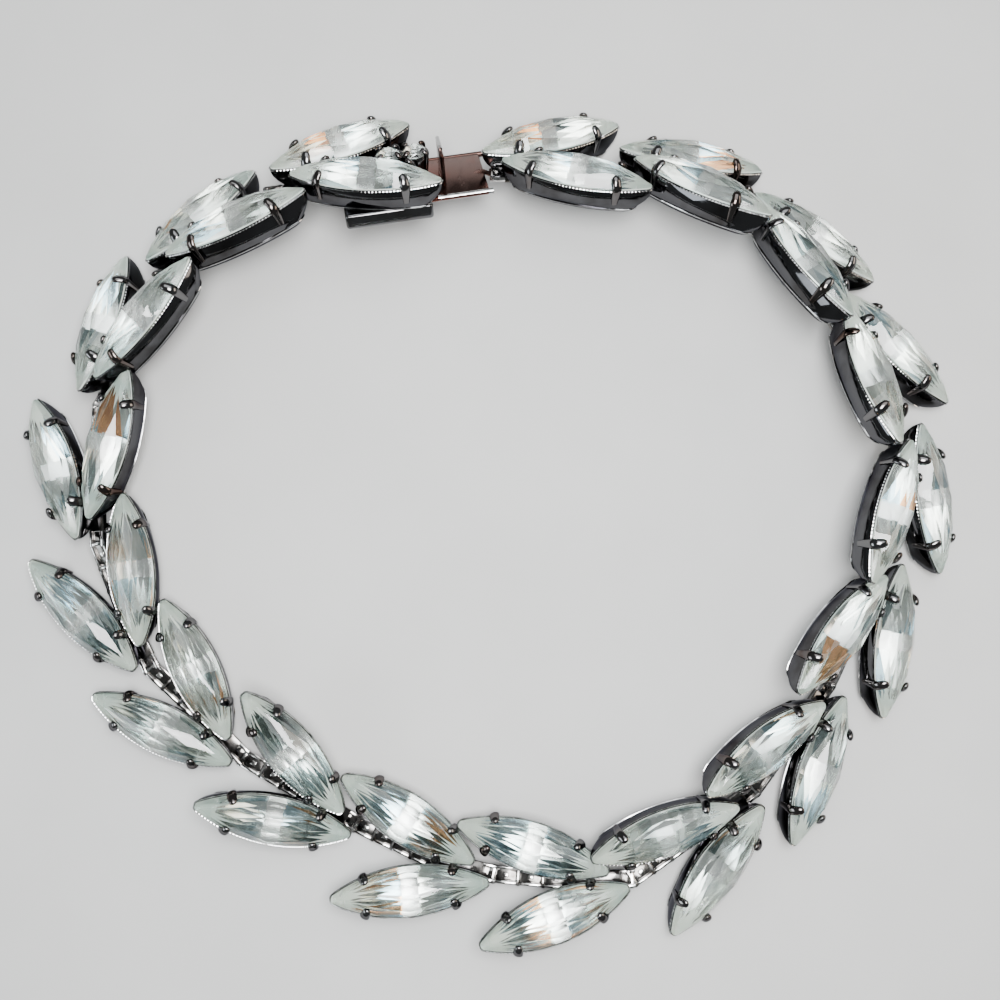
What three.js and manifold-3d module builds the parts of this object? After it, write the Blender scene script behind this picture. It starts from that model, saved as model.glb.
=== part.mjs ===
// A link bracelet: seventeen V-shaped links, each with two pointed oval stones, joined by flat
// hinged straps and closed by a tongue clasp. It lies in its closed loop on a flat surface.
// Lengths are millimetres and +Z is up. The origin is under the middle of the loop.

import * as THREE from 'three';
import { mergeVertices } from 'three/addons/utils/BufferGeometryUtils.js';
import Module from 'manifold-3d';

const wasm = await Module();
wasm.setup();

const degrees = THREE.MathUtils.degToRad;
const UP = new THREE.Vector3(0, 0, 1);

// A pointed oval is two arcs that meet at the tips: half is its half length, side its half width.
// z is measured from the widest line of the stone.
const STONE = { half: 6.1, side: 1.85, z: 0 };
const STONE_SHOULDER = { half: 5.2, side: 1.25, z: 0.9 };
const STONE_TABLE = { half: 4.2, side: 0.6, z: 1.5 };
const STONE_KEEL = { half: 3.2, side: 0.25, z: -1.2 };
const ARC_STEPS = 5;

// The cup under a stone is deep and its ends rake in towards the foot, like a canoe.
const CUP_FOOT = { half: 4.8, side: 1.35, z: -2.25 };
const CUP_BELLY = { half: 5.75, side: 1.85, z: -1.2 };
const CUP_RIM = { half: 6.2, side: 1.95, z: -0.12 };
const CUP_FLOOR = { half: 4.6, side: 0.85, z: -1.4 };

// A prong is a wire, half buried in the wall, that bends in over the slope of the stone.
const PRONG_STATION = 3.5;
const PRONG_WIDTH = 0.55;
const PRONG_THICKNESS = 0.4;
const PRONG_PATH = [
  { out: 0.07, z: -0.9 },
  { out: 0.26, z: 0.12 },
  { out: -0.08, z: 0.68 },
  { out: -0.48, z: 1.2 },
];

// A link: its cups splay by the V angle, and the outer one sits back towards the point.
const V_HALF_ANGLE = degrees(19);
const CUP_GAP = 0.3;
const CUP_STAGGER = 0.75;

// A flat plate is soldered under both cups. Behind the link it ends in a fork, which takes the end
// of the strap that comes from the crotch of the next link.
const STRAP_WIDTH = 1.4;
const STRAP_THICKNESS = 0.55;
const STRAP_Z = -1.9;
const PLATE_FRONT = 1.4;
const STRAP_START = 1.0;
const STRAP_NECK = 0.36;
const STRAP_GAP = 0.5;
const FORK_BACK = -4.3;
const LAST_FORK_BACK = -3.1;
const FORK_SLOT = 1.0;
const FORK_DEPTH = 0.8;

// The clasp: a flat case under the first link, and a tongue that goes into its mouth.
const CASE = { from: 1.6, to: 8.6, half: 4.7, bottom: -3.3, top: -2.0 };
const MOUTH = { from: 4.4, half: 3.3, bottom: -3.05, top: -2.35 };
const TONGUE = { half: 3.1, thickness: 0.4, tuck: 4.0, show: 4.8, neckLap: 0.8 };
const TAB = { half: 1.45, thickness: 0.3, top: 0.2, clear: 1.2 };
const CHATON_PLACES = [5.8, 7.9];
const CHATON = { radius: 1.0, wall: 0.15, taper: 0.3, shoulder: -0.3, crown: 0.45, table: 0.5 };
const CHATON_SIDES = 8;
const CHATON_PRONGS = 4;
const BEAD = { radius: 0.27, z: 0.1 };

// Soldered pieces run this far into one another, and a cutter runs this far past a face.
const SOLDER_LAP = 0.05;
const CUTTER_OVERRUN = 1.0;

// One row a link, from the clasp round to the clasp again, with directions in degrees from +X.
// x and y are where its point lies; heading is where the V opens; rise is how far the open end
// is lifted; lean is how far its face tips outward from lying flat.
const LINKS = [
  { x: -13.9, y: 27.6, heading: 10, rise: -4, lean: 37 },
  { x: -24.3, y: 22, heading: 36, rise: -5, lean: 46 },
  { x: -30.8, y: 12.8, heading: 63, rise: 0, lean: 40 },
  { x: -32.5, y: 1.6, heading: 93, rise: 0, lean: 20 },
  { x: -29.3, y: -8.9, heading: 117, rise: 0, lean: 4 },
  { x: -22.6, y: -16.8, heading: 136, rise: 0, lean: 0 },
  { x: -13.5, y: -22.9, heading: 148, rise: 12, lean: 0 },
  { x: -3.3, y: -27.3, heading: 167, rise: 0, lean: -9 },
  { x: 7.3, y: -28.4, heading: 183, rise: -4, lean: -11 },
  { x: 18.3, y: -24.5, heading: 217, rise: 0, lean: 15 },
  { x: 25.7, y: -16.8, heading: 232, rise: 8, lean: 22 },
  { x: 31.1, y: -6.9, heading: 246, rise: 5, lean: 28 },
  { x: 33.7, y: 3.8, heading: 265, rise: 0, lean: 38 },
  { x: 30.2, y: 15, heading: 299, rise: 8, lean: 38 },
  { x: 23.8, y: 23.7, heading: 313, rise: 7, lean: 48 },
  { x: 13.9, y: 28.7, heading: 342, rise: 4, lean: 48 },
  { x: 3, y: 29.1, heading: 2, rise: -4, lean: 36 },
];

const METAL = { color: 0x525254, roughness: 0.12, metalness: 1.0 };
const GLASS = { color: 0xc4d2cf, roughness: 0.05, metalness: 0.0 };

// ---------------------------------------------------------------------------------------------
// Solids

// A closed surface through rings of points, each counter-clockwise seen from the last ring.
function loft(rings) {
  const count = rings[0].length;
  const positions = rings.flat().flatMap((p) => [p.x, p.y, p.z]);
  const index = [];
  for (let r = 0; r + 1 < rings.length; r += 1) {
    for (let i = 0; i < count; i += 1) {
      const next = (i + 1) % count;
      const [a, b] = [r * count + i, r * count + next];
      const [c, d] = [b + count, a + count];
      index.push(a, b, c, a, c, d);
    }
  }
  const last = (rings.length - 1) * count;
  for (let i = 1; i + 1 < count; i += 1) {
    index.push(0, i + 1, i);
    index.push(last, last + i, last + i + 1);
  }
  const geometry = new THREE.BufferGeometry();
  geometry.setAttribute('position', new THREE.Float32BufferAttribute(positions, 3));
  geometry.setIndex(index);
  return geometry;
}

// Radius of the arc on each side of a pointed oval.
function arcRadius({ half, side }) {
  return (half * half + side * side) / (2 * side);
}

// Half width of a pointed oval at a station along it.
function sideAt(oval, x) {
  const radius = arcRadius(oval);
  return Math.sqrt(radius * radius - x * x) - (radius - oval.side);
}

// A pointed oval as a ring of points at height z.
function ovalRing(oval) {
  const radius = arcRadius(oval);
  const reach = Math.asin(oval.half / radius);
  const ring = [];
  for (const way of [1, -1]) {
    for (let i = 0; i < ARC_STEPS; i += 1) {
      const angle = way * reach * (1 - (2 * i) / ARC_STEPS);
      const x = radius * Math.sin(angle);
      const y = way * (radius * Math.cos(angle) - (radius - oval.side));
      ring.push(new THREE.Vector3(x, y, oval.z));
    }
  }
  return ring;
}

// A flat bar swept along a path in a plane: across is the unit vector of its width.
function bar(path, across, width, thickness) {
  const rings = path.map((point, i) => {
    const before = path[Math.max(i - 1, 0)];
    const after = path[Math.min(i + 1, path.length - 1)];
    const along = after.clone().sub(before).normalize();
    const up = along.clone().cross(across).normalize();
    return [[1, 1], [-1, 1], [-1, -1], [1, -1]].map(([w, t]) => point.clone()
      .addScaledVector(across, (w * width) / 2)
      .addScaledVector(up, (t * thickness) / 2));
  });
  return loft(rings);
}

function block(x0, x1, halfY, z0, z1) {
  const geometry = new THREE.BoxGeometry(x1 - x0, 2 * halfY, z1 - z0);
  return geometry.translate((x0 + x1) / 2, 0, (z0 + z1) / 2);
}

function toSolid(geometry) {
  const bare = geometry.clone();
  bare.deleteAttribute('normal');
  bare.deleteAttribute('uv');
  const merged = mergeVertices(bare, 1e-4);
  return new wasm.Manifold(new wasm.Mesh({
    numProp: 3,
    vertProperties: new Float32Array(merged.attributes.position.array),
    triVerts: new Uint32Array(merged.index.array),
  }));
}

function toGeometry(solid) {
  const mesh = solid.getMesh();
  const geometry = new THREE.BufferGeometry();
  geometry.setAttribute('position', new THREE.BufferAttribute(mesh.vertProperties, 3));
  geometry.setIndex(new THREE.BufferAttribute(mesh.triVerts, 1));
  geometry.computeVertexNormals();
  return geometry;
}

function joined(geometries) {
  return geometries.map(toSolid).reduce((sum, solid) => sum.add(solid));
}

// ---------------------------------------------------------------------------------------------
// The pieces of a link

function stoneGeometry() {
  const rings = [STONE_KEEL, STONE, STONE_SHOULDER, STONE_TABLE].map((oval) => ovalRing(oval));
  const geometry = loft(rings);
  geometry.computeVertexNormals();
  return geometry;
}

function cupGeometry() {
  return loft([CUP_FOOT, CUP_BELLY, CUP_RIM, CUP_FLOOR].map((oval) => ovalRing(oval)));
}

// The prong at one station of a stone, on the side that way (1 or -1) names.
function prongGeometry(station, way) {
  const slope = Math.asin(station / arcRadius(STONE));
  const outward = new THREE.Vector3(Math.sin(slope), way * Math.cos(slope), 0);
  const across = new THREE.Vector3(-outward.y, outward.x, 0);
  const foot = new THREE.Vector3(station, way * sideAt(STONE, station), 0);
  const path = PRONG_PATH.map(({ out, z }) => foot.clone().addScaledVector(outward, out).setZ(z));
  return bar(path, across, PRONG_WIDTH, PRONG_THICKNESS);
}

function cupWithProngs() {
  const prongs = [];
  for (const station of [-PRONG_STATION, PRONG_STATION]) {
    for (const way of [-1, 1]) prongs.push(prongGeometry(station, way));
  }
  return joined([cupGeometry(), ...prongs]);
}

// Where a cup, and the stone in it, sits in its link: way is 1 for the outer one, -1 for the inner.
// The two rims pass closest where their edges run along the middle line of the V.
function cupPlace(way) {
  const radius = arcRadius(CUP_RIM);
  const back = radius * Math.sin(V_HALF_ANGLE);
  const beside = sideAt(CUP_RIM, back);
  const turn = new THREE.Matrix4().makeRotationZ(way * V_HALF_ANGLE);
  const centre = new THREE.Vector3(back, way * beside, 0).applyMatrix4(turn);
  centre.x -= way * CUP_STAGGER;
  centre.y += (way * CUP_GAP) / 2;
  return turn.setPosition(centre);
}

// A flat outline in the XY plane, given as [x, y] corners, as thick as the strap.
function plateGeometry(corners, z) {
  const shape = new THREE.Shape(corners.map(([x, y]) => new THREE.Vector2(x, y)));
  const geometry = new THREE.ExtrudeGeometry(shape, { depth: STRAP_THICKNESS, bevelEnabled: false });
  return geometry.translate(0, 0, z - STRAP_THICKNESS / 2);
}

// Half of an outline, mirrored across the X axis to close it.
function mirrored(half) {
  return [...half, ...half.map(([x, y]) => [x, -y]).reverse()];
}

function forkPlateGeometry(back) {
  const fork = [
    [back + FORK_DEPTH, FORK_SLOT / 2],
    [back, FORK_SLOT / 2],
    [back, STRAP_WIDTH / 2],
    [PLATE_FRONT, STRAP_WIDTH / 2],
  ];
  return plateGeometry(mirrored(fork), STRAP_Z);
}

// Two cups soldered in a V on the plate that carries the fork.
function pairSolid(forkBack) {
  const cup = cupWithProngs();
  return [1, -1]
    .map((way) => cup.transform(cupPlace(way).elements))
    .reduce((sum, solid) => sum.add(solid), toSolid(forkPlateGeometry(forkBack)));
}

// A strap along +X, from 0 to its length: flat, with a neck at the end that lies in the fork of
// the link before.
function strapGeometry(length) {
  const neck = length - FORK_DEPTH;
  const outline = [
    [0, STRAP_WIDTH / 2],
    [neck, STRAP_WIDTH / 2],
    [neck, STRAP_NECK / 2],
    [length, STRAP_NECK / 2],
  ];
  return plateGeometry(mirrored(outline), 0);
}

// The matrix that lays the X axis from one point to another with its Y axis near across.
function between(start, end, across) {
  const along = end.clone().sub(start).normalize();
  const up = along.clone().cross(across).normalize();
  return new THREE.Matrix4().makeBasis(along, up.clone().cross(along), up).setPosition(start);
}

// ---------------------------------------------------------------------------------------------
// The clasp, in the frame of the first link

function chatonSolid(place) {
  const foot = CASE.top - SOLDER_LAP;
  const rim = CHATON.radius + CHATON.wall;
  const profile = [
    [0, foot],
    [rim - CHATON.taper, foot],
    [rim, CHATON.shoulder],
    [rim, 0],
    [CHATON.radius, 0],
    [CHATON.table, CHATON.crown],
    [0, CHATON.crown],
  ].map(([r, z]) => new THREE.Vector2(r, z));
  const body = new THREE.LatheGeometry(profile, CHATON_SIDES).rotateX(Math.PI / 2);
  const beads = [];
  for (let i = 0; i < CHATON_PRONGS; i += 1) {
    const angle = ((i + 0.5) * 2 * Math.PI) / CHATON_PRONGS;
    const [x, y] = [CHATON.radius * Math.cos(angle), CHATON.radius * Math.sin(angle)];
    beads.push(new THREE.OctahedronGeometry(BEAD.radius).translate(x, y, BEAD.z));
  }
  return joined([body, ...beads]).translate([place, 0, 0]);
}

function caseSolid() {
  const shell = toSolid(block(CASE.from, CASE.to, CASE.half, CASE.bottom, CASE.top));
  const cutEnd = CASE.to + CUTTER_OVERRUN;
  const mouth = toSolid(block(MOUTH.from, cutEnd, MOUTH.half, MOUTH.bottom, MOUTH.top));
  const chatons = CHATON_PLACES.map(chatonSolid);
  return chatons.reduce((sum, solid) => sum.add(solid), shell.subtract(mouth));
}

// ---------------------------------------------------------------------------------------------
// Laying the links out

function linkPlaces() {
  return LINKS.map(({ x, y, heading, rise, lean }) => {
    const turn = new THREE.Matrix4().makeRotationZ(degrees(heading));
    const tip = new THREE.Matrix4().makeRotationX(-degrees(lean));
    const lift = new THREE.Matrix4().makeRotationY(-degrees(rise));
    return turn.multiply(lift).multiply(tip).setPosition(x, y, 0);
  });
}

// Raises a place so that the solid in it just stands on the surface.
function standOn(place, solid) {
  const lowest = solid.transform(place.elements).boundingBox().min[2];
  return new THREE.Matrix4().makeTranslation(0, 0, -lowest).multiply(place);
}

function inLink(place, x, z) {
  return new THREE.Vector3(x, 0, z).applyMatrix4(place);
}

function acrossOf(place) {
  return new THREE.Vector3().setFromMatrixColumn(place, 1);
}

function named(name, geometry, look, matrix = new THREE.Matrix4()) {
  const mesh = new THREE.Mesh(geometry, new THREE.MeshStandardMaterial(look));
  mesh.name = name;
  mesh.applyMatrix4(matrix);
  return mesh;
}

// The strap from the crotch of one link to the fork of the one before it, in the first one's frame.
function strapSolid(place, before) {
  const start = inLink(place, STRAP_START, STRAP_Z);
  const end = inLink(before, FORK_BACK + FORK_DEPTH - STRAP_GAP, STRAP_Z);
  const route = between(start, end, acrossOf(place).add(acrossOf(before)));
  const strap = strapGeometry(start.distanceTo(end));
  return toSolid(strap.applyMatrix4(place.clone().invert().multiply(route)));
}

// The tongue lies in the mouth of the case, shows a flat plate and a thumb tab outside it, and
// reaches back by a neck into the fork of the last link. It is in the first link's frame.
function tongueSolid(first, final) {
  const middle = (MOUTH.bottom + MOUTH.top) / 2;
  const fork = inLink(final, LAST_FORK_BACK + FORK_DEPTH - STRAP_GAP, STRAP_Z);
  const end = fork.applyMatrix4(first.clone().invert());
  const across = new THREE.Vector3(0, 1, 0);
  const plate = [CASE.to - TONGUE.tuck, CASE.to + TONGUE.show];
  const neck = new THREE.Vector3(plate[1] - TONGUE.neckLap, 0, middle);
  const tab = CASE.to + TAB.clear;
  return joined([
    bar(plate.map((x) => new THREE.Vector3(x, 0, middle)), across, 2 * TONGUE.half, TONGUE.thickness),
    bar([neck, end], across, STRAP_NECK, STRAP_THICKNESS),
    block(tab, tab + TAB.thickness, TAB.half, middle, TAB.top),
  ]);
}

function bracelet() {
  const group = new THREE.Group();
  const pair = pairSolid(FORK_BACK);
  const clasped = pair.add(caseSolid());
  const ending = pairSolid(LAST_FORK_BACK);
  const last = LINKS.length - 1;
  const places = linkPlaces().map((place, i) => standOn(place, i === 0 ? clasped : pair));
  const stone = stoneGeometry();

  places.forEach((place, i) => {
    const number = String(i + 1).padStart(2, '0');
    const body = i === last ? ending : pair;
    const setting = i === 0 ? clasped : body.add(strapSolid(place, places[i - 1]));
    group.add(named(`setting_${number}`, toGeometry(setting), METAL, place));
    group.add(named(`stone_outer_${number}`, stone, GLASS, place.clone().multiply(cupPlace(1))));
    group.add(named(`stone_inner_${number}`, stone, GLASS, place.clone().multiply(cupPlace(-1))));
  });

  const tongue = tongueSolid(places[0], places[last]);
  group.add(named('clasp_tongue', toGeometry(tongue), METAL, places[0]));

  // The middle of the loop comes over the origin.
  const centre = new THREE.Box3().setFromObject(group, true).getCenter(new THREE.Vector3());
  group.position.set(-centre.x, -centre.y, 0);
  return group;
}

export default bracelet();
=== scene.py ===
# %% [markdown]
# # A bracelet of paired pointed stones
#
# Seventeen V-shaped links lie in a closed loop. Each link holds two pointed oval glass stones in
# deep polished cups. Short hinged plates join the links, and a flat tongue closes the loop.
# The construction model gives the size and the place of every link. This lesson dresses it:
# cut stones, drawn cups, bent prongs, hinges, a clasp, and the light to see them by.

# %% Load the frame
from math import asin, atan2, cos, pi, radians, sin, sqrt
from random import Random

import bmesh
import bpy
from mathutils import Matrix, Vector


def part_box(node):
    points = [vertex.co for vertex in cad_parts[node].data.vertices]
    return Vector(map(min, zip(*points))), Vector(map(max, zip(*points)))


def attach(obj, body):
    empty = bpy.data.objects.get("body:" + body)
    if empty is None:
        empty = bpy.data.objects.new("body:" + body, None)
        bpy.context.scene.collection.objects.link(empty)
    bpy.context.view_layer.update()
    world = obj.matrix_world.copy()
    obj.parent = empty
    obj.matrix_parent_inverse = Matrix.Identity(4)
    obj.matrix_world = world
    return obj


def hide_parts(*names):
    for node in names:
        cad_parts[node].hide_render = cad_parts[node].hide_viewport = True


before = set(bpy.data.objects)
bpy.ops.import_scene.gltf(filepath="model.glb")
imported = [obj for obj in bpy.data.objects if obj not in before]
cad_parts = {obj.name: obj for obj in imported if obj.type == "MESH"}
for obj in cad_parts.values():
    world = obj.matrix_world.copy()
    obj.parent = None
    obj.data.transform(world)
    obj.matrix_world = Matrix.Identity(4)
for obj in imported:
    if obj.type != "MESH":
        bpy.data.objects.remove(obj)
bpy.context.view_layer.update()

MM = 0.001
print("construction nodes:", len(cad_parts))

# %% [markdown]
# ## Where the links lie
#
# A link's own frame has X towards the open side of its V, Y towards the outside of the loop and
# Z out of the stones' faces. Three angles a link turn it: where the V opens, how far its open end
# is lifted, and how far its face tips outward. These angles repeat those of the construction
# model. They are not charted by hand: a least-squares fit of the links gave them, and they were
# rounded and in part moved. Its place is then read from the boxes of its stones in that model.

# %% The directions of the links
LINKS = [
    {"heading": 10, "rise": -4, "lean": 37},
    {"heading": 36, "rise": -5, "lean": 46},
    {"heading": 63, "rise": 0, "lean": 40},
    {"heading": 93, "rise": 0, "lean": 20},
    {"heading": 117, "rise": 0, "lean": 4},
    {"heading": 136, "rise": 0, "lean": 0},
    {"heading": 148, "rise": 12, "lean": 0},
    {"heading": 167, "rise": 0, "lean": -9},
    {"heading": 183, "rise": -4, "lean": -11},
    {"heading": 217, "rise": 0, "lean": 15},
    {"heading": 232, "rise": 8, "lean": 22},
    {"heading": 246, "rise": 5, "lean": 28},
    {"heading": 265, "rise": 0, "lean": 38},
    {"heading": 299, "rise": 8, "lean": 38},
    {"heading": 313, "rise": 7, "lean": 48},
    {"heading": 342, "rise": 4, "lean": 48},
    {"heading": 2, "rise": -4, "lean": 36},
]

# The plain stone of the construction model, in millimetres: rings of half length, half width, z.
PLAIN_RINGS = [(3.2, 0.25, -1.2), (6.1, 1.85, 0.0), (5.2, 1.25, 0.9), (4.2, 0.6, 1.5)]
PLAIN_STEPS = 5

# Two cups make a V: its half angle, the gap between their rims, how far the outer one sits back.
CUP_RIM = {"half": 6.2, "side": 1.95}
V_HALF_ANGLE = radians(19)
CUP_GAP = 0.3
CUP_STAGGER = 0.75


def arc_radius(half, side):
    """Radius of each side of a sharp pointed oval."""
    return (half * half + side * side) / (2 * side)


def cup_place(way):
    """The place of the outer (1) or inner (-1) cup in its link, in millimetres."""
    radius = arc_radius(**CUP_RIM)
    back = radius * sin(V_HALF_ANGLE)
    beside = sqrt(radius * radius - back * back) - (radius - CUP_RIM["side"])
    turn = Matrix.Rotation(way * V_HALF_ANGLE, 4, "Z")
    centre = turn @ Vector((back, way * beside, 0))
    centre += Vector((-way * CUP_STAGGER, way * CUP_GAP / 2, 0))
    return Matrix.Translation(centre) @ turn


def plain_stone_points():
    points = []
    for half, side, z in PLAIN_RINGS:
        radius = arc_radius(half, side)
        reach = asin(half / radius)
        for way in (1, -1):
            for i in range(PLAIN_STEPS):
                angle = way * reach * (1 - 2 * i / PLAIN_STEPS)
                y = way * (radius * cos(angle) - (radius - side))
                points.append(Vector((radius * sin(angle), y, z)))
    return points


def link_place(row, number):
    """The link's frame in the model's frame: millimetres in, metres out."""
    turn = Matrix.Rotation(radians(row["heading"]), 4, "Z")
    turn = turn @ Matrix.Rotation(-radians(row["rise"]), 4, "Y")
    turn = turn @ Matrix.Rotation(-radians(row["lean"]), 4, "X") @ Matrix.Scale(MM, 4)
    spots = []
    for name, way in (("outer", 1), ("inner", -1)):
        points = [turn @ cup_place(way) @ p for p in plain_stone_points()]
        corner = Vector([min(p[k] for p in points) for k in range(3)])
        spots.append(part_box(f"stone_{name}_{number:02d}")[0] - corner)
    place = Matrix.Translation((spots[0] + spots[1]) / 2) @ turn
    return place, (spots[0] - spots[1]).length


PLACES, misfits = zip(*(link_place(row, i + 1) for i, row in enumerate(LINKS)))
print(f"{len(PLACES)} links placed, worst misfit {max(misfits) / MM:.4f} mm")

# %% [markdown]
# ## Small mesh tools
#
# Every piece is worked out in its link's millimetres and moved into place once, at the end. A
# loft joins rings of points; a sweep carries a round section along a bent line. Sharp edges are
# marked by the angle between faces, so that a facet stays flat while a drawn wall stays smooth.

# %% Rings, lofts and sweeps
SHARP = radians(28)


def loft(bm, rings, cap_start=False, cap_end=False, slot=0):
    """Joins rings of equally many points with quads and returns the faces."""
    rows = [[bm.verts.new(p) for p in ring] for ring in rings]
    count = len(rows[0])
    faces = []
    for low, high in zip(rows, rows[1:]):
        for i in range(count):
            j = (i + 1) % count
            faces.append(bm.faces.new((low[i], low[j], high[j], high[i])))
    if cap_start:
        faces.append(bm.faces.new(list(reversed(rows[0]))))
    if cap_end:
        faces.append(bm.faces.new(rows[-1]))
    for face in faces:
        face.material_index = slot
    return faces


def sweep(bm, path, across, width, height, sides=12, slot=0):
    """Carries an ellipse along a path. width and height hold one size for each point."""
    rings = []
    for i, point in enumerate(path):
        along = (path[min(i + 1, len(path) - 1)] - path[max(i - 1, 0)]).normalized()
        up = along.cross(across).normalized()
        ring = []
        for k in range(sides):
            angle = 2 * pi * k / sides
            ring.append(point + across * (cos(angle) * width[i] / 2)
                        + up * (sin(angle) * height[i] / 2))
        rings.append(ring)
    return loft(bm, rings, cap_start=True, cap_end=True, slot=slot)


def smooth_line(points, steps):
    """A Catmull-Rom line through the points."""
    line = []
    for i in range(len(points) - 1):
        before, a, b = points[max(i - 1, 0)], points[i], points[i + 1]
        after = points[min(i + 2, len(points) - 1)]
        for k in range(steps):
            t = k / steps
            line.append(0.5 * ((2 * a) + (b - before) * t
                               + (2 * before - 5 * a + 4 * b - after) * t ** 2
                               + (3 * a - before - 3 * b + after) * t ** 3))
    return line + [points[-1]]


def mark_sharp(bm, angle):
    for face in bm.faces:
        face.smooth = True
    for edge in bm.edges:
        edge.smooth = len(edge.link_faces) == 2 and edge.calc_face_angle(0) < angle


def to_mesh(bm, name, angle=SHARP):
    bmesh.ops.recalc_face_normals(bm, faces=bm.faces)
    mark_sharp(bm, angle)
    mesh = bpy.data.meshes.new(name)
    bm.to_mesh(mesh)
    bm.free()
    return mesh


def add_piece(name, mesh, place, materials, replaces=()):
    """Lays a copy of a mesh in the model's frame as a piece of the object."""
    own = mesh.copy()
    own.name = name
    own.transform(place)
    for material in materials:
        own.materials.append(material)
    piece = bpy.data.objects.new(name, own)
    bpy.context.scene.collection.objects.link(piece)
    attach(piece, "root")
    if replaces:
        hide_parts(*replaces)
    return piece


# %% A pointed oval with rounded tips
def oval_arcs(half, side, tip):
    """Centre and reach of the arcs: two long ones, and a small round of radius tip at each end."""
    centre = half - tip
    radius = (centre ** 2 + side ** 2 - tip ** 2) / (2 * (side - tip))
    return centre, radius, atan2(centre, radius - side)


def pointed_oval(half, side, tip, side_steps=24, tip_steps=6):
    """Points round a pointed oval, each with its outward direction."""
    centre, radius, reach = oval_arcs(half, side, tip)
    points = []
    for way in (1, -1):
        for i in range(side_steps):
            angle = way * reach * (1 - 2 * i / side_steps)
            out = Vector((sin(angle), way * cos(angle), 0))
            points.append((out * radius - Vector((0, way * (radius - side), 0)), out))
        for i in range(tip_steps):
            angle = reach + (pi - 2 * reach) * i / tip_steps
            out = Vector((-way * sin(angle), way * cos(angle), 0))
            points.append((out * tip - Vector((way * centre, 0, 0)), out))
    return points


def oval_ring(half, side, tip, z, **steps):
    return [point + Vector((0, 0, z)) for point, _ in pointed_oval(half, side, tip, **steps)]


def half_width(x, half, side, tip):
    centre, radius, reach = oval_arcs(half, side, tip)
    x = abs(x)
    if x < radius * sin(reach):
        return sqrt(radius ** 2 - x ** 2) - (radius - side)
    return sqrt(max(tip ** 2 - (x - centre) ** 2, 0.0))


# %% [markdown]
# ## Finishes
#
# The metal is bright plate over a soft casting. On the cups, prongs, straps and clasp it is tinted
# near black, a painted dark reflection: it stays as dark as if it mirrored a dark room, where it
# would otherwise mirror the pale card. The tongue is tinted a dark red, a painted warm reflection,
# and the lip, the fold edges and the teeth are lighter copies of the plate, painted highlights.
# It shows hairline scratches, and dulls in clouds where fingers have touched it. Both effects are
# on every metal piece, so each is a node group with its own inputs. Positions are in metres, so a
# noise scale of 1000 gives one cell a millimetre, and because every link lies elsewhere, no two are
# marked alike.

# %% Node groups for wear
def new_group(name, inputs, outputs):
    tree = bpy.data.node_groups.new(name, "ShaderNodeTree")
    for label, kind, value in inputs:
        socket = tree.interface.new_socket(label, in_out="INPUT", socket_type=kind)
        socket.default_value = value
    for label, kind in outputs:
        tree.interface.new_socket(label, in_out="OUTPUT", socket_type=kind)
    return tree, tree.nodes.new("NodeGroupInput"), tree.nodes.new("NodeGroupOutput")


def add_node(tree, kind, links=(), **settings):
    """Adds a node: settings name its properties or its inputs, links join its inputs."""
    node = tree.nodes.new(kind)
    for key, value in settings.items():
        if hasattr(node, key):
            setattr(node, key, value)
        else:
            node.inputs[key.replace("_", " ")].default_value = value
    for name, socket in links:
        tree.links.new(socket, node.inputs[name])
    return node


def scratches_group():
    """Hairline scratches: a stretched noise that changes roughness and tilts the surface."""
    tree, given, made = new_group(
        "hairline_scratches",
        [("Scale", "NodeSocketFloat", 1500.0), ("Smooth", "NodeSocketFloat", 0.1),
         ("Worn", "NodeSocketFloat", 0.25), ("Depth", "NodeSocketFloat", 0.1)],
        [("Roughness", "NodeSocketFloat"), ("Normal", "NodeSocketVector")],
    )
    where = add_node(tree, "ShaderNodeTexCoord")
    stretch = add_node(tree, "ShaderNodeMapping", [("Vector", where.outputs["Object"])],
                       Scale=(1.0, 0.22, 0.6), Rotation=(0.4, 0.7, 0.5))
    fine = add_node(tree, "ShaderNodeTexNoise",
                    [("Vector", stretch.outputs[0]), ("Scale", given.outputs["Scale"])], Detail=5.0)
    level = add_node(tree, "ShaderNodeMapRange",
                     [("Value", fine.outputs["Fac"]), ("To Min", given.outputs["Smooth"]),
                      ("To Max", given.outputs["Worn"])])
    level.inputs["From Min"].default_value = 0.45
    level.inputs["From Max"].default_value = 0.75
    bump = add_node(tree, "ShaderNodeBump",
                    [("Height", fine.outputs["Fac"]), ("Strength", given.outputs["Depth"])],
                    Distance=0.00002)
    tree.links.new(level.outputs[0], made.inputs["Roughness"])
    tree.links.new(bump.outputs[0], made.inputs["Normal"])
    return tree


def clouds_group():
    """Clouds between two colours, for plate that has dulled, foil that has aged, or card."""
    tree, given, made = new_group(
        "dull_clouds",
        [("Clean", "NodeSocketColor", (0.6, 0.6, 0.6, 1)),
         ("Dull", "NodeSocketColor", (0.3, 0.3, 0.3, 1)),
         ("Scale", "NodeSocketFloat", 400.0), ("From", "NodeSocketFloat", 0.45),
         ("To", "NodeSocketFloat", 0.7)],
        [("Color", "NodeSocketColor"), ("Mask", "NodeSocketFloat")],
    )
    where = add_node(tree, "ShaderNodeTexCoord")
    noise = add_node(tree, "ShaderNodeTexNoise",
                     [("Vector", where.outputs["Object"]), ("Scale", given.outputs["Scale"])],
                     Detail=3.0, Roughness=0.6)
    mask = add_node(tree, "ShaderNodeMapRange",
                    [("Value", noise.outputs["Fac"]), ("From Min", given.outputs["From"]),
                     ("From Max", given.outputs["To"])])
    mix = add_node(tree, "ShaderNodeMix",
                   [("Factor", mask.outputs[0])], data_type="RGBA")
    tree.links.new(given.outputs["Clean"], mix.inputs[6])
    tree.links.new(given.outputs["Dull"], mix.inputs[7])
    tree.links.new(mix.outputs[2], made.inputs["Color"])
    tree.links.new(mask.outputs[0], made.inputs["Mask"])
    return tree


SCRATCHES = scratches_group()
CLOUDS = clouds_group()
print("node groups:", [group.name for group in bpy.data.node_groups])


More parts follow.
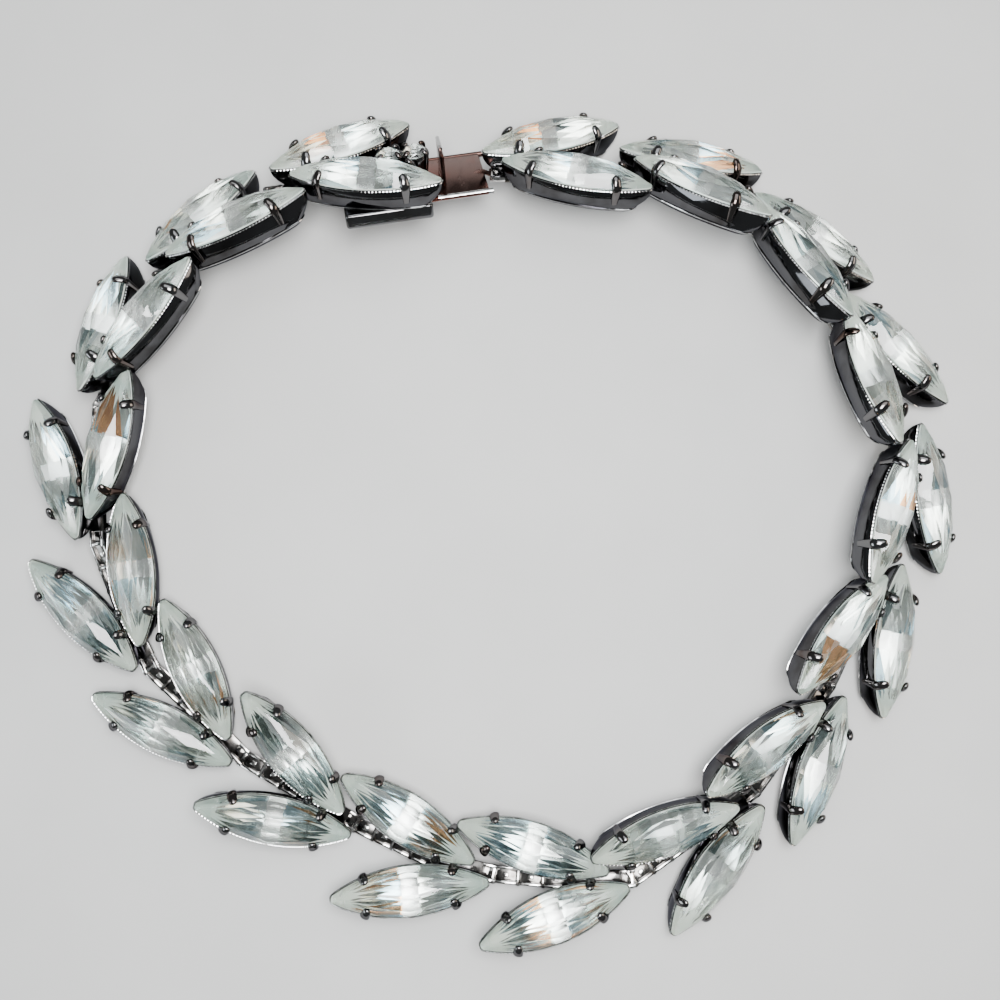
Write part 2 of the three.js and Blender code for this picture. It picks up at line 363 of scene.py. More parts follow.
# %% The materials
def new_material(name, **plain):
    """A Principled material: plain values sit on the shader's own sockets."""
    material = bpy.data.materials.new(name)
    material.use_nodes = True
    shader = material.node_tree.nodes["Principled BSDF"]
    for key, value in plain.items():
        shader.inputs[key.replace("_", " ")].default_value = value
    return material, material.node_tree, shader


def use_group(tree, group, **values):
    node = tree.nodes.new("ShaderNodeGroup")
    node.node_tree = group
    for key, value in values.items():
        node.inputs[key].default_value = value
    return node


def worn_material(name, clean, dull, wear, scales, **plain):
    """Clouded between two tints, and scratched. wear is roughness, worn roughness and depth."""
    material, tree, shader = new_material(name, **plain)
    cloud_scale, scratch_scale = scales
    smooth, worn, depth = wear
    clouds = use_group(tree, CLOUDS, Clean=clean, Dull=dull, Scale=cloud_scale)
    marks = use_group(tree, SCRATCHES, Smooth=smooth, Worn=worn, Depth=depth, Scale=scratch_scale)
    tree.links.new(clouds.outputs["Color"], shader.inputs["Base Color"])
    tree.links.new(marks.outputs["Roughness"], shader.inputs["Roughness"])
    tree.links.new(marks.outputs["Normal"], shader.inputs["Normal"])
    return material


def plated_metal(name, clean, dull, smooth, worn, cloud_scale=260.0, rim=(1, 1, 1, 1)):
    """Plate between two tints. The rim tint is what it gives back at a glancing angle."""
    return worn_material(name, clean, dull, (smooth, worn, 0.1), (cloud_scale, 1500.0),
                         Metallic=1.0, Specular_Tint=rim)


# The dark glancing tint and the near-black tints of the cup, prong, strap and clasp plate are a
# painted dark reflection: they keep the plate as dark as if it mirrored a dark room, where it would
# otherwise mirror the pale card.
DARK_RIM = (0.4, 0.4, 0.42, 1)
CUP_METAL = plated_metal("cup_plate", (0.08, 0.08, 0.085, 1), (0.035, 0.033, 0.033, 1), 0.04, 0.14,
                         rim=DARK_RIM)
# A lighter copy of the plate, a painted highlight: the thin bright line on the cup lip, on one
# rolled edge of the tongue and on its tab.
HIGHLIGHT_PLATE_METAL = plated_metal("worn_edge", (0.54, 0.54, 0.54, 1), (0.14, 0.13, 0.125, 1), 0.08, 0.22,
                         cloud_scale=900.0)
# The prong's brownish dull tint is partly dulling and partly a painted warm reflection.
PRONG_METAL = plated_metal("prong_wire", (0.13, 0.128, 0.13, 1), (0.07, 0.05, 0.042, 1), 0.04, 0.14,
                           rim=DARK_RIM)
# The teeth are a lighter copy of the plate, clouded in patches of a few beads: painted glints along
# the rim.
TEETH_METAL = plated_metal("milled_teeth", (0.44, 0.44, 0.44, 1), (0.05, 0.048, 0.046, 1),
                           0.06, 0.2, cloud_scale=1500.0)
STRAP_METAL = plated_metal("strap_plate", (0.14, 0.135, 0.13, 1), (0.05, 0.045, 0.04, 1), 0.08, 0.3,
                           cloud_scale=900.0)
# A lighter copy of the strap plate for the turned-up edges, the bosses and the pins: painted
# highlights.
EDGE_METAL = plated_metal("folded_edge", (0.62, 0.61, 0.60, 1), (0.10, 0.085, 0.075, 1), 0.1, 0.3,
                          cloud_scale=1400.0)
CLASP_METAL = plated_metal("clasp_plate", (0.12, 0.12, 0.125, 1), (0.06, 0.05, 0.045, 1), 0.06, 0.2)
# The dark red-brown tint of the tongue is a painted warm reflection in the plate.
TONGUE_RED_REFLECTION_METAL = plated_metal("tongue_plate", (0.12, 0.07, 0.06, 1), (0.17, 0.05, 0.035, 1),
                            0.16, 0.34)


def stone_material(name, clean, dull, smooth, worn, depth, cloud_scale=420.0, **plain):
    """Glass, foil and ground ends are all clouded between two tints, and finely scratched."""
    return worn_material(name, clean, dull, (smooth, worn, depth), (cloud_scale, 1200.0), **plain)


GLASS = stone_material("cut_glass", (0.96, 0.985, 0.96, 1), (0.90, 0.95, 0.91, 1),
                       0.0, 0.06, 0.006, IOR=1.54, Transmission_Weight=1.0, Metallic=0.0)
GROUND = stone_material("ground_glass", (0.94, 0.98, 0.94, 1), (0.86, 0.92, 0.88, 1),
                        0.2, 0.36, 0.05, IOR=1.5, Transmission_Weight=1.0, Metallic=0.0)
FOIL = stone_material("silver_foil", (0.90, 0.93, 0.88, 1), (0.68, 0.78, 0.80, 1), 0.16, 0.36, 0.06,
                      cloud_scale=150.0, Metallic=1.0)
FOIL_COOL = stone_material("foil_gone_blue", (0.50, 0.66, 0.74, 1), (0.36, 0.50, 0.56, 1),
                           0.16, 0.34, 0.06, Metallic=1.0)
FOIL_DARK = stone_material("foil_gone_grey", (0.32, 0.39, 0.39, 1), (0.20, 0.25, 0.26, 1),
                           0.16, 0.34, 0.06, Metallic=1.0)
FOIL_WARM = stone_material("foil_gone_amber", (0.96, 0.52, 0.27, 1), (0.76, 0.40, 0.22, 1),
                           0.16, 0.34, 0.06, Metallic=1.0)
# Whiter foil for the level middle band: a painted highlight on top of the flash the keel gives. The
# round stones' backs take it too.
WHITE_FOIL_PAINTED_FLASH = stone_material("fresh_foil", (0.98, 0.99, 0.98, 1), (0.90, 0.95, 0.94, 1),
                           0.2, 0.34, 0.05, Metallic=1.0)
FROST = stone_material("matt_foil", (0.86, 0.91, 0.84, 1), (0.50, 0.62, 0.58, 1), 0.3, 0.5, 0.3,
                       cloud_scale=240.0, Metallic=0.4)
print("materials:", [material.name for material in bpy.data.materials])

# %% [markdown]
# ## The stones
#
# A long pointed stone of this kind is moulded and then cut. Its crown is a net of long almond
# facets that interleave like bricks. Its back is keeled like a boat, level in the middle and then
# rising to both tips in long slivers, and it carries a mirror foil. Two sides of a keel at a right
# angle send light back the way it came, so the level middle flashes as one band across the stone
# and the slivers show as streaks to either side. A solid glass body whose back faces have the foil
# as their material does the same in the renderer. The foil of the middle band is also whiter than
# the rest, a painted highlight on top of that flash. The foil is matt at the tips, and ages by the
# sliver, some grey, some blue and one or two amber, so eight stones are cut from one pattern with
# different foils, and dealt out round the loop.

# %% The facets of a stone
STONE = {"half": 6.1, "side": 1.85, "tip": 0.36}
GIRDLE = 0.06
CROWN = {"height": 1.5, "curve": 0.036, "round": 2.2, "fall": 0.75}
BACK = {"height": 1.75, "curve": 0.05, "round": 1.2, "fall": 1.0}
# Stations along the stone where facets meet, and those at which its outline bends.
BAND, NEAR, FAR = 0.65, 2.6, 4.55
CROWN_NEAR, CROWN_SIDE, CROWN_FAR, RIDGE_END = 2.6, 3.9, 4.9, 5.6
EDGE_STATIONS = [0, 0.65, 1.3, 1.95, 2.6, 3.25, 3.9, 4.55, 5.2]
# Places across the back, as shares of its half width: the slivers interleave between the two.
EVEN_ROWS = [-1.0, -0.6, -0.2, 0.2, 0.6, 1.0]
ODD_ROWS = [-0.8, -0.4, 0.0, 0.4, 0.8]
DOME = 0.35
SURFACES = ["glass", "ground", "band", "foil", "cool", "dark", "warm", "frost"]


def surface_point(x, v, shape, way=1):
    """A point of the crown (way 1) or the back (way -1), v from -1 to 1 across the stone."""
    height = shape["height"] - shape["curve"] * x * x - GIRDLE
    lift = (1 - abs(v) ** shape["round"]) ** shape["fall"]
    return Vector((x, v * half_width(x, **STONE), way * (GIRDLE + max(height, 0.05) * lift)))


def side_end():
    """Where the long arc of the outline meets the round of the tip."""
    _, radius, reach = oval_arcs(**STONE)
    return radius * sin(reach)


def edge_points(start, end, side, way):
    """Points along one side of the girdle, from start to end, at its upper or lower edge."""
    low, high = min(start, end), max(start, end)
    stations = sorted({s * x for s in (1, -1) for x in [*EDGE_STATIONS, side_end()]})
    xs = [x for x in stations if low - 1e-6 <= x <= high + 1e-6]
    if start > end:
        xs.reverse()
    return [Vector((x, side * half_width(x, **STONE), way * GIRDLE)) for x in xs]


def nose_points(way, end, count=8):
    """Points round the tip at one end, from the +Y side to the -Y side."""
    centre, _, reach = oval_arcs(**STONE)
    angles = [reach + (pi - 2 * reach) * i / count for i in range(count + 1)]
    tip = STONE["tip"]
    return [Vector((end * (centre + tip * sin(a)), tip * cos(a), way * GIRDLE)) for a in angles]


def crown_facets():
    """Each facet is (surface, corners, the point of the smooth crown over its middle)."""
    def c(x, v):
        return surface_point(x, v, CROWN)

    last = side_end()
    facets = [("glass", [c(-CROWN_NEAR, 0), c(0, -0.3), c(CROWN_NEAR, 0), c(0, 0.3)], c(0, 0))]
    for side in (1, -1):
        a, b, d = side * 0.3, side * 0.55, side * 0.8
        facets.append(("glass", [c(-CROWN_NEAR, b), c(0, a), c(CROWN_NEAR, b), c(0, d)], c(0, b)))
        for end in (1, -1):
            near, beside, far, ridge = (
                end * x for x in (CROWN_NEAR, CROWN_SIDE, CROWN_FAR, RIDGE_END))
            tip = edge_points(end * last, end * last, side, 1)[0]
            facets += [
                ("glass", [c(0, d), c(near, b), *edge_points(near, 0, side, 1)],
                 c(near / 2, side * 0.84)),
                ("glass", [c(0, a), c(near, 0), c(far, a), c(near, b)], c(near, side * 0.28)),
                ("glass",
                 [c(near, b), c(far, a), c(beside, d), *edge_points(beside, near, side, 1)],
                 c(1.35 * near, side * 0.72)),
                ("ground", [c(far, a), c(ridge, 0), tip, c(beside, d)], c(1.02 * far, side * 0.6)),
                ("ground", [c(beside, d), *edge_points(end * last, beside, side, 1)],
                 c(1.2 * beside, side * 0.92)),
            ]
    for end in (1, -1):
        near, far, ridge = (end * x for x in (CROWN_NEAR, CROWN_FAR, RIDGE_END))
        facets += [
            ("glass", [c(near, 0), c(far, -0.3), c(far, 0.3)], c(0.85 * far, 0)),
            ("ground", [c(far, -0.3), c(ridge, 0), c(far, 0.3)], c(1.05 * far, 0)),
            ("ground", [c(ridge, 0), *nose_points(1, end)], c(1.02 * ridge, 0)),
        ]
    return facets


def back_facets():
    """The level band, then bright slivers that taper out and matt ones that taper in."""
    def b(x, v):
        if abs(v) == 1:
            return edge_points(x, x, v, -1)[0]
        return surface_point(x, v, BACK, -1)

    last = side_end()
    facets = []
    for low, high in zip(EVEN_ROWS, EVEN_ROWS[1:]):
        corners = [b(-BAND, low), b(BAND, low), b(BAND, high), b(-BAND, high)]
        if low == -1:
            corners[1:1] = edge_points(-BAND, BAND, -1, -1)[1:-1]
        if high == 1:
            corners[3:3] = edge_points(BAND, -BAND, 1, -1)[1:-1]
        facets.append(("band", corners, surface_point(0, (low + high) / 2, BACK, -1)))
    for end in (1, -1):
        band, near, far, tip = (end * x for x in (BAND, NEAR, FAR, last))
        for v in ODD_ROWS:
            facets.append(("sliver", [b(band, v - 0.2), b(band, v + 0.2), b(near, v)],
                           surface_point(1.6 * band, v, BACK, -1)))
            facets.append(("frost", [b(near, v), b(far, v - 0.2), b(tip, v), b(far, v + 0.2)],
                           surface_point(far, v, BACK, -1)))
        for v in EVEN_ROWS[1:-1]:
            facets.append(("sliver", [b(band, v), b(near, v - 0.2), b(far, v), b(near, v + 0.2)],
                           surface_point(near, v, BACK, -1)))
            facets.append(("frost", [b(far, v), b(tip, v - 0.2), b(tip, v + 0.2)],
                           surface_point((far + tip) / 2, v, BACK, -1)))
        for side in (1, -1):
            v = 0.8 * side
            facets.append(("sliver", [b(near, v), *edge_points(band, far, side, -1)],
                           surface_point(near, 0.95 * side, BACK, -1)))
            facets.append(("frost", [b(tip, v), *edge_points(far, tip, side, -1)],
                           surface_point((far + tip) / 2, 0.95 * side, BACK, -1)))
        facets.append(("frost", [b(tip, v) for v in ODD_ROWS] + nose_points(-1, end),
                       surface_point(1.01 * tip, 0, BACK, -1)))
    return facets


def girdle_ring(way):
    last = side_end()
    right, left = nose_points(way, 1), nose_points(way, -1)
    return [*edge_points(last, -last, 1, way)[:-1], *left[:-1],
            *edge_points(-last, last, -1, way)[:-1], *right[:0:-1]]


def fill_facet(bm, corners, middle):
    verts = [bm.verts.new(p) for p in corners]
    mean = sum(corners, Vector()) / len(corners)
    centre = bm.verts.new(mean.lerp(middle, DOME))
    return [bm.faces.new((centre, a, b)) for a, b in zip(verts, verts[1:] + verts[:1])]


# %% Cutting the stones
FOIL_SHARES = [66, 14, 14, 6]


def stone_mesh(seed):
    """A stone: edges are sharp where two facets meet, and each facet is very slightly domed."""
    dealer = Random(seed)
    bm = bmesh.new()
    facet = bm.faces.layers.int.new("facet")
    for number, (surface, corners, middle) in enumerate(crown_facets() + back_facets()):
        if surface == "sliver":
            surface = dealer.choices(["foil", "cool", "dark", "warm"], FOIL_SHARES)[0]
        for face in fill_facet(bm, corners, middle):
            face.material_index = SURFACES.index(surface)
            face[facet] = number
    for face in loft(bm, [girdle_ring(-1), girdle_ring(1)], slot=SURFACES.index("frost")):
        face[facet] = -1
    bmesh.ops.remove_doubles(bm, verts=bm.verts, dist=1e-5)
    bmesh.ops.recalc_face_normals(bm, faces=bm.faces)
    for face in bm.faces:
        face.smooth = True
    for edge in bm.edges:
        edge.smooth = len({face[facet] for face in edge.link_faces}) == 1
    open_edges = sum(len(edge.link_faces) != 2 for edge in bm.edges)
    mesh = bpy.data.meshes.new("stone")
    bm.to_mesh(mesh)
    bm.free()
    return mesh, open_edges


STONE_MATERIALS = [GLASS, GROUND, WHITE_FOIL_PAINTED_FLASH, FOIL, FOIL_COOL, FOIL_DARK, FOIL_WARM, FROST]
CUT_STONES, gaps = zip(*(stone_mesh(seed) for seed in range(8)))
print("stones:", len(CUT_STONES), "of", len(CUT_STONES[0].polygons), "faces,",
      "open edges:", max(gaps))

# %% Stones in their links
for i, place in enumerate(PLACES):
    for name, way in (("outer", 1), ("inner", -1)):
        label = f"{name}_{i + 1:02d}"
        cut = CUT_STONES[(5 * i + 2 * way) % len(CUT_STONES)]
        add_piece(f"navette_{label}", cut, place @ cup_place(way), STONE_MATERIALS,
                  [f"stone_{label}"])

# %% [markdown]
# ## The cups
#
# Each stone sits in a deep cup, drawn up from sheet like a small canoe: a plain polished wall,
# ends that rake in towards the foot, and a thin lip just above it. A row of fine teeth is milled
# along the rim, just under the widest line of the stone, and glitters. The wall is a loft of
# pointed ovals, one for each height. The teeth are a bead line bent round the same oval. The foot
# is rounder at its tips than the construction model's, so on a leaning link a little of it would
# go below the surface. It is cut flat there, once the cup lies in its place.

# %% A cup with its milled rim
# One row a height, from the floor inside, over the rim and down the wall to the lip and the foot.
CUP_ROWS = [
    {"half": 3.6, "side": 0.25, "tip": 0.06, "z": -1.98},
    {"half": 5.4, "side": 1.4, "tip": 0.3, "z": -1.0},
    {"half": 5.95, "side": 1.72, "tip": 0.34, "z": -0.3},
    {"half": 6.08, "side": 1.86, "tip": 0.38, "z": -0.14},
    {"half": 6.16, "side": 1.93, "tip": 0.42, "z": -0.2},
    {"half": 6.16, "side": 1.95, "tip": 0.46, "z": -0.42},
    {"half": 6.05, "side": 1.94, "tip": 0.55, "z": -0.8},
    {"half": 5.82, "side": 1.88, "tip": 0.68, "z": -1.2},
    {"half": 5.5, "side": 1.73, "tip": 0.82, "z": -1.55},
    {"half": 5.2, "side": 1.57, "tip": 0.94, "z": -1.82},
    {"half": 5.16, "side": 1.54, "tip": 0.96, "z": -1.86},
    {"half": 5.2, "side": 1.59, "tip": 1.0, "z": -1.89},
    {"half": 5.21, "side": 1.6, "tip": 1.0, "z": -1.94},
    {"half": 5.16, "side": 1.57, "tip": 0.98, "z": -1.99},
    {"half": 5.02, "side": 1.47, "tip": 0.92, "z": -2.04},
    {"half": 4.9, "side": 1.4, "tip": 0.86, "z": -2.16},
    {"half": 4.72, "side": 1.3, "tip": 0.76, "z": -2.25},
]
# The rows between which the lip stands out; they take a lighter copy of the plate, a painted
# highlight along the lip.
LIP_ROWS = (10, 13)
TEETH = 92
TOOTH, TEETH_Z = 0.075, -0.15
TEETH_LINE = {"half": 6.18, "side": 1.94, "tip": 0.48}


def cup(bm, place):
    rings = [[place @ p for p in oval_ring(**row)] for row in CUP_ROWS]
    faces = loft(bm, rings, cap_start=True, cap_end=True)
    around = len(rings[0])
    # The lip rows take the lighter plate: a painted highlight.
    for face in faces[LIP_ROWS[0] * around:LIP_ROWS[1] * around]:
        face.material_index = 1


def toothed_rim(bm, place, sides=5, steps=4):
    """A ring of beads: its section swells and shrinks along the oval."""
    per_side = TEETH * steps // 2 - 8
    line = pointed_oval(side_steps=per_side, tip_steps=8, **TEETH_LINE)
    rings = []
    for i, (point, out) in enumerate(line):
        size = TOOTH * (0.55 + 0.45 * abs(sin(pi * i / steps)))
        ring = []
        for k in range(sides):
            angle = 2 * pi * k / sides
            lift = Vector((0, 0, size * sin(angle) + TEETH_Z))
            ring.append(place @ (point + out * (size * cos(angle)) + lift))
        rings.append(ring)
    # The teeth take the lighter teeth plate: painted glints.
    loft(bm, rings + [rings[0]], slot=2)


def cup_pair_mesh():
    bm = bmesh.new()
    for way in (1, -1):
        cup(bm, cup_place(way))
        toothed_rim(bm, cup_place(way))
    bmesh.ops.remove_doubles(bm, verts=bm.verts, dist=1e-5)
    return to_mesh(bm, "cups", radians(35))


CUP_PAIR = cup_pair_mesh()
print("cups:", len(CUP_PAIR.polygons), "faces")

# %% [markdown]
# ## The prongs
#
# Four prongs hold each stone, a fifth of its length in from the tips. Each is a stout wire that
# leaves the wall below the rim, lies up the slope of the stone and ends in a rounded nose.
# The wire is an ellipse swept along a smooth line, drawn in to nothing over its last steps.

# %% Prongs
PRONG_STATION = 3.5
# How much a prong turns to face outward with its distance from the middle of the stone.
PRONG_TURN = 2 / 11
# out is measured from the edge of the stone, z from its widest line.
PRONG_LINE = [
    {"out": 0.02, "z": -1.3, "width": 0.48, "height": 0.26},
    {"out": 0.08, "z": -0.8, "width": 0.62, "height": 0.32},
    {"out": 0.15, "z": -0.25, "width": 0.76, "height": 0.4},
    {"out": 0.17, "z": 0.1, "width": 0.82, "height": 0.46},
    {"out": 0.08, "z": 0.38, "width": 0.8, "height": 0.46},
    {"out": -0.1, "z": 0.62, "width": 0.74, "height": 0.46},
    {"out": -0.28, "z": 0.79, "width": 0.68, "height": 0.42},
    {"out": -0.4, "z": 0.87, "width": 0.54, "height": 0.36},
    {"out": -0.47, "z": 0.91, "width": 0.34, "height": 0.24},
    {"out": -0.5, "z": 0.92, "width": 0.08, "height": 0.06},
]


def prong(bm, place, station, way):
    out = Vector((station * PRONG_TURN, way, 0)).normalized()
    across = Vector((-out.y, out.x, 0))
    foot = Vector((station, way * half_width(station, **STONE), 0))
    points = [foot + out * row["out"] + Vector((0, 0, row["z"])) for row in PRONG_LINE]
    sizes = [Vector((row["width"], row["height"], 0)) for row in PRONG_LINE]
    line, size = smooth_line(points, 4), smooth_line(sizes, 4)
    turn = place.to_3x3()
    sweep(bm, [place @ p for p in line], (turn @ across).normalized(),
          [v.x for v in size], [v.y for v in size])


def prong_mesh():
    bm = bmesh.new()
    for side in (1, -1):
        for station in (-PRONG_STATION, PRONG_STATION):
            for way in (1, -1):
                prong(bm, cup_place(side), station, way)
    return to_mesh(bm, "prongs", radians(60))


PRONGS = prong_mesh()
print("prongs:", len(PRONGS.polygons), "faces")

# %% [markdown]
# ## The hinged straps
#
# From the crotch of each V a strap of short folded plates runs to the point of the next link.
# Each plate is turned up along both edges, with a boss in its middle, and a pin joins it to the
# next. The plates turn little by little between the tilts of the two links they join.

# %% Strap plates
STRAP_WIDTH = 1.4
STRAP_Z = -1.9
STRAP_START = 1.0
FORK_BACK = -4.3
LAST_FORK_BACK = -3.1
JOINT_AHEAD = 0.3
PLATE_LENGTH = 1.85
PIN_SIDES, PIN_RADIUS, PIN_PAST = 10, 0.2, 0.14


def rounded_block(bm, place, low, high, bevel, segments=2, slot=0):
    size = Vector(high) - Vector(low)
    middle = (Vector(high) + Vector(low)) / 2
    made = bmesh.ops.create_cube(bm, size=1.0)
    verts = made["verts"]
    bmesh.ops.transform(bm, matrix=Matrix.Translation(middle) @ Matrix.Diagonal((*size, 1)),
                        verts=verts)
    edges = list({e for v in verts for e in v.link_edges})
    bevelled = bmesh.ops.bevel(bm, geom=edges, offset=bevel, segments=segments, profile=0.5,
                               affect="EDGES")
    touched = {v for f in bevelled["faces"] for v in f.verts}
    for face in {f for v in touched for f in v.link_faces}:
        face.material_index = slot
    bmesh.ops.transform(bm, matrix=place, verts=list(touched))


def pin(bm, place, length, radius):
    half = length / 2
    ys = [-half, -half + 0.03, -half + 0.1, half - 0.1, half - 0.03, half]
    rs = [0.5, 0.85, 1.0, 1.0, 0.85, 0.5]
    rings = []
    for y, r in zip(ys, rs):
        turns = [2 * pi * k / PIN_SIDES for k in range(PIN_SIDES)]
        rings.append([place @ Vector((r * radius * cos(a), y, r * radius * sin(a))) for a in turns])
    loft(bm, rings, cap_start=True, cap_end=True, slot=1)


def strap_plate(bm, place, length):
    """One folded plate, centred on its frame, with a pin at its far end."""
    half, wide = length / 2 - 0.12, STRAP_WIDTH / 2
    rounded_block(bm, place, (-half, -wide + 0.06, -0.16), (half, wide - 0.06, 0.06), 0.05)
    # The turned-up edges, the boss and the pin take the lighter plate: painted highlights.
    for way in (1, -1):
        edges = sorted((way * wide, way * (wide - 0.26)))
        rounded_block(bm, place, (-half, edges[0], -0.16), (half, edges[1], 0.27), 0.08, slot=1)
    rounded_block(bm, place, (-0.24, -0.2, -0.1), (0.24, 0.2, 0.13), 0.1, 3, slot=1)
    pin(bm, place @ Matrix.Translation((length / 2, 0, 0.05)), STRAP_WIDTH + PIN_PAST, PIN_RADIUS)


def strap_mesh(i):
    """The base plate with its fork under this link, and the strap on to the link before."""
    bm = bmesh.new()
    here = Matrix.Translation((0, 0, STRAP_Z))
    back = LAST_FORK_BACK if i == len(PLACES) - 1 else FORK_BACK
    wide = STRAP_WIDTH / 2
    rounded_block(bm, here, (back + 1.2, -wide, -0.25), (1.4, wide, 0.2), 0.08)
    # The fork's edges and its pin take the lighter plate: painted highlights.
    for way in (1, -1):
        edges = sorted((way * wide, way * (wide - 0.3)))
        rounded_block(bm, here, (back, edges[0], -0.2), (back + 1.3, edges[1], 0.27), 0.08, slot=1)
    rounded_block(bm, here, (back + 0.5, -0.42, -0.18), (back + 1.3, 0.42, 0.1), 0.06)
    pin(bm, here @ Matrix.Translation((back + 0.3, 0, 0.05)), STRAP_WIDTH + PIN_PAST, PIN_RADIUS)
    if i == 0:
        return to_mesh(bm, "strap")
    other = PLACES[i].inverted() @ PLACES[i - 1]
    start = Vector((STRAP_START, 0, STRAP_Z))
    end = other @ Vector((FORK_BACK + JOINT_AHEAD, 0, STRAP_Z))
    count = max(2, round((end - start).length / PLATE_LENGTH))
    along = (end - start).normalized()
    for k in range(count):
        t = (k + 0.5) / count
        across = Vector((0, 1, 0)).lerp((other.to_3x3() @ Vector((0, 1, 0))).normalized(), t)
        up = along.cross(across).normalized()
        across = up.cross(along)
        spot = start.lerp(end, t)
        turn = Matrix((along, across, up)).transposed().to_4x4()
        strap_plate(bm, Matrix.Translation(spot) @ turn, (end - start).length / count)
    return to_mesh(bm, "strap")


def stand_on_surface(mesh):
    """Cuts a foot flat where it would go below the surface, and closes the cut."""
    bm = bmesh.new()
    bm.from_mesh(mesh)
    cut = bmesh.ops.bisect_plane(bm, geom=[*bm.verts, *bm.edges, *bm.faces], plane_co=(0, 0, 0),
                                 plane_no=(0, 0, -1), clear_outer=True)
    edges = [part for part in cut["geom_cut"] if isinstance(part, bmesh.types.BMEdge)]
    if edges:
        bmesh.ops.edgeloop_fill(bm, edges=edges)
    open_edges = sum(edge.is_boundary for edge in bm.edges)
    bm.to_mesh(mesh)
    bm.free()
    return open_edges


# %% Metal in its links
open_cups = 0
for i, place in enumerate(PLACES):
    number = f"{i + 1:02d}"
    cups = add_piece(f"cups_{number}", CUP_PAIR, place, [CUP_METAL, HIGHLIGHT_PLATE_METAL, TEETH_METAL],
                     [f"setting_{number}"])
    open_cups += stand_on_surface(cups.data)
    add_piece(f"prongs_{number}", PRONGS, place, [PRONG_METAL])
    add_piece(f"strap_{number}", strap_mesh(i), place, [STRAP_METAL, EDGE_METAL])
print("open edges on the cups:", open_cups)

# %% [markdown]
# ## The clasp
#
# The clasp is a shallow case soldered under the first link. A springy tongue on the other end of
# the chain slides into its mouth, and a thumb tab on the tongue lets it out. Two small round
# stones in prong cups stand on the case, in the V of the link, and hide it from above. The case
# is a bevelled block with the mouth cut out of it, as the real one is folded round its mouth.

# %% The clasp case
CASE = {"from": 1.6, "to": 8.6, "half": 4.7, "bottom": -3.3, "top": -2.0}
MOUTH = {"from": 4.4, "half": 3.3, "bottom": -3.05, "top": -2.35}
TONGUE = {"from": 4.6, "to": 13.4, "half": 3.1, "z": -2.7, "roll": 0.24}
TAB = {"from": 9.8, "to": 10.1, "half": 1.45, "top": 0.2}
CHATON_PLACES = [5.8, 7.9]


def block_mesh(name, low, high, bevel, segments=3):
    bm = bmesh.new()
    rounded_block(bm, Matrix.Identity(4), low, high, bevel, segments)
    return to_mesh(bm, name)


def cut_away(mesh, cutter):
    """The first mesh with the second cut out of it."""
    kept, tool = (bpy.data.objects.new(m.name, m) for m in (mesh, cutter))
    for thing in (kept, tool):
        bpy.context.scene.collection.objects.link(thing)
    modifier = kept.modifiers.new("mouth", "BOOLEAN")
    modifier.object, modifier.operation = tool, "DIFFERENCE"
    ready = kept.evaluated_get(bpy.context.evaluated_depsgraph_get())
    result = bpy.data.meshes.new_from_object(ready)
    for thing in (kept, tool):
        bpy.data.objects.remove(thing)
    return result


def case_mesh():
    low = (CASE["from"], -CASE["half"], CASE["bottom"])
    high = (CASE["to"], CASE["half"], CASE["top"])
    mouth_low = (MOUTH["from"], -MOUTH["half"], MOUTH["bottom"])
    mouth_high = (CASE["to"] + 2, MOUTH["half"], MOUTH["top"])
    return cut_away(block_mesh("case", low, high, 0.28, 4),
                    block_mesh("mouth", mouth_low, mouth_high, 0.1))


def tongue_mesh():
    bm = bmesh.new()
    here = Matrix.Identity(4)
    z, half = TONGUE["z"], TONGUE["half"]
    rounded_block(bm, here, (TONGUE["from"], -half, z - 0.17), (TONGUE["to"], half, z + 0.17),
                  0.14, 3)
    rounded_block(bm, here, (TAB["from"], -TAB["half"], z), (TAB["to"], TAB["half"], TAB["top"]),
                  0.15, 3)
    fork = PLACES[0].inverted() @ PLACES[-1] @ Vector((LAST_FORK_BACK + JOINT_AHEAD, 0, STRAP_Z))
    thick = [2 * TONGUE["roll"]] * 2
    # One rolled edge and the tab top take the lighter plate: a painted highlight along them.
    for way in (1, -1):
        rolled = [Vector((x, way * (half - TONGUE["roll"]), z))
                  for x in (CASE["to"] + 0.6, TONGUE["to"] + 0.3)]
        sweep(bm, rolled, Vector((0, 1, 0)), thick, thick, sides=16, slot=int(way < 0))
    middle = (TAB["from"] + TAB["to"]) / 2
    top = [Vector((middle, y, TAB["top"])) for y in (1 - TAB["half"], TAB["half"] - 0.1)]
    sweep(bm, top, Vector((1, 0, 0)), [0.34] * 2, [0.3] * 2, sides=12, slot=1)
    neck = [Vector((TONGUE["to"] - 0.8, 0, z)), Vector((TONGUE["to"] - 0.2, 0, z + 0.15)), fork]
    sweep(bm, smooth_line(neck, 4), Vector((0, 1, 0)), [0.5] * 9, [0.4] * 9, sides=10)
    return to_mesh(bm, "tongue")


add_piece("clasp_case", case_mesh(), PLACES[0], [CLASP_METAL])
add_piece("clasp_plate", tongue_mesh(), PLACES[0], [TONGUE_RED_REFLECTION_METAL, HIGHLIGHT_PLATE_METAL],
          ["clasp_tongue"])


# %% The two round stones
def round_ring(radius, z, sides=16, turn=0.0):
    angles = [turn + 2 * pi * k / sides for k in range(sides)]
    return [Vector((radius * cos(a), radius * sin(a), z)) for a in angles]


def round_stone(bm, place):
    rings = [round_ring(0.12, -0.62), round_ring(1.0, -0.05), round_ring(1.0, 0.05),
             round_ring(0.8, 0.28, turn=pi / 16), round_ring(0.5, 0.45)]
    faces = loft(bm, [[place @ p for p in ring] for ring in rings], cap_start=True, cap_end=True)
    for face in faces[:16] + [faces[-2]]:
        face.material_index = 1


